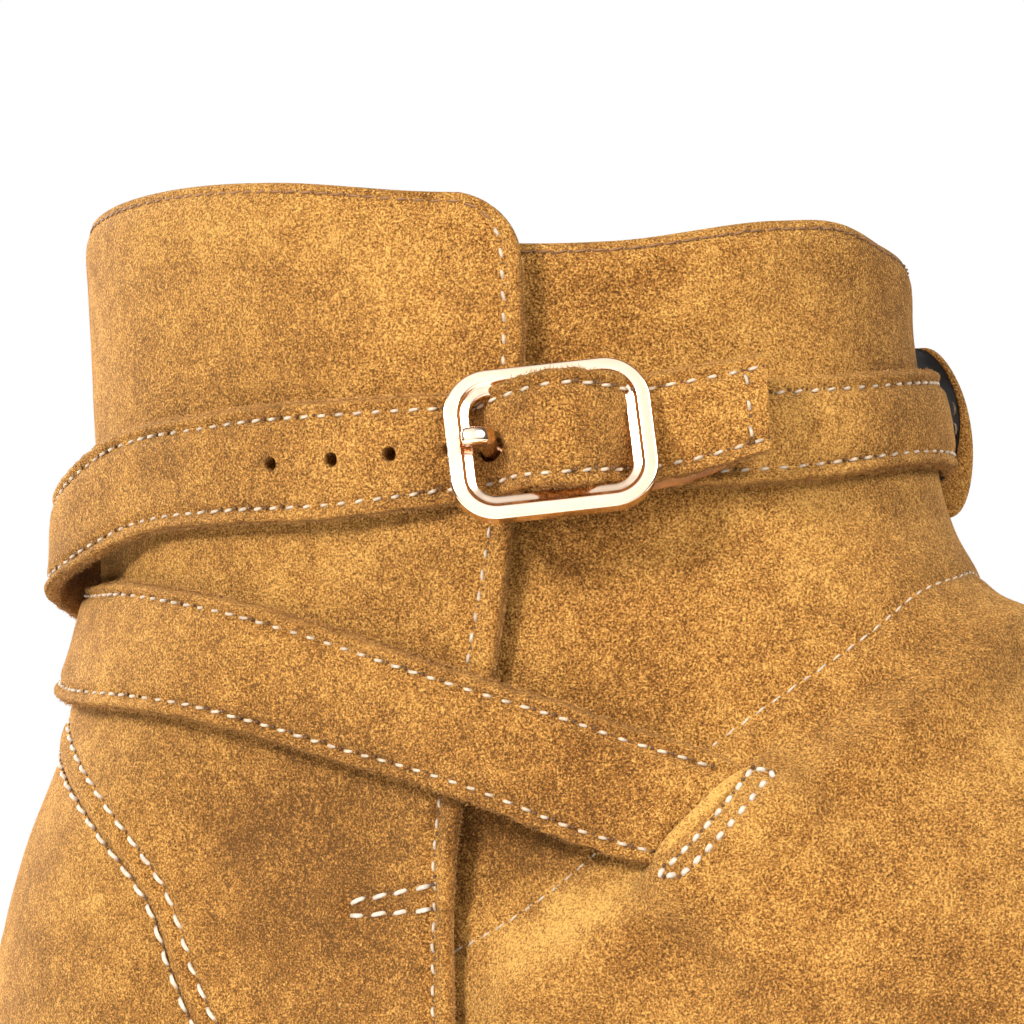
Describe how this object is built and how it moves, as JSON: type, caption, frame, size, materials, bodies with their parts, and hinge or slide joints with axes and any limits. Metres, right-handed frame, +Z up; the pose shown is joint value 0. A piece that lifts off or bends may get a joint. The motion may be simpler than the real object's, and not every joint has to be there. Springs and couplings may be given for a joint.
{
  "type": "ankle boot",
  "caption": "Low-heeled suede ankle boot with a hollow upper, an overlapping outer quarter, wrap straps crossing behind the ankle and a centre-bar buckle",
  "frame": {"origin": "middle of the heel's flat tread, on the floor", "axes": "+X points to the toe, -Y to the outer side of the right foot, +Z up"},
  "size_m": [0.2865, 0.1011, 0.1584],
  "materials": {
    "suede_upper": "napped tan suede",
    "suede_quarter": "napped tan suede",
    "suede_counter": "napped tan suede",
    "suede_strap": "napped tan suede with raw edges",
    "suede_punched_strap": "napped tan suede with raw edges",
    "suede_keeper": "napped tan suede with a black lining",
    "rose_gold_frame": "polished pale rose-gold plating",
    "rose_gold_prong": "polished pale rose-gold plating",
    "insole_leather": "smooth brown leather",
    "sole_leather": "smooth dark brown leather",
    "heel_leather": "stacked dark brown leather"
  },
  "bodies": {
    "root": {"upper": "suede_upper", "quarter_flap": "suede_quarter", "heel_counter": "suede_counter", "wrap_strap": "suede_strap", "punched_strap": "suede_punched_strap", "keeper_loop": "suede_keeper", "buckle_frame": "rose_gold_frame", "buckle_prong": "rose_gold_prong", "insole": "insole_leather", "outsole": "sole_leather", "heel": "heel_leather"}
  },
  "joints": []
}
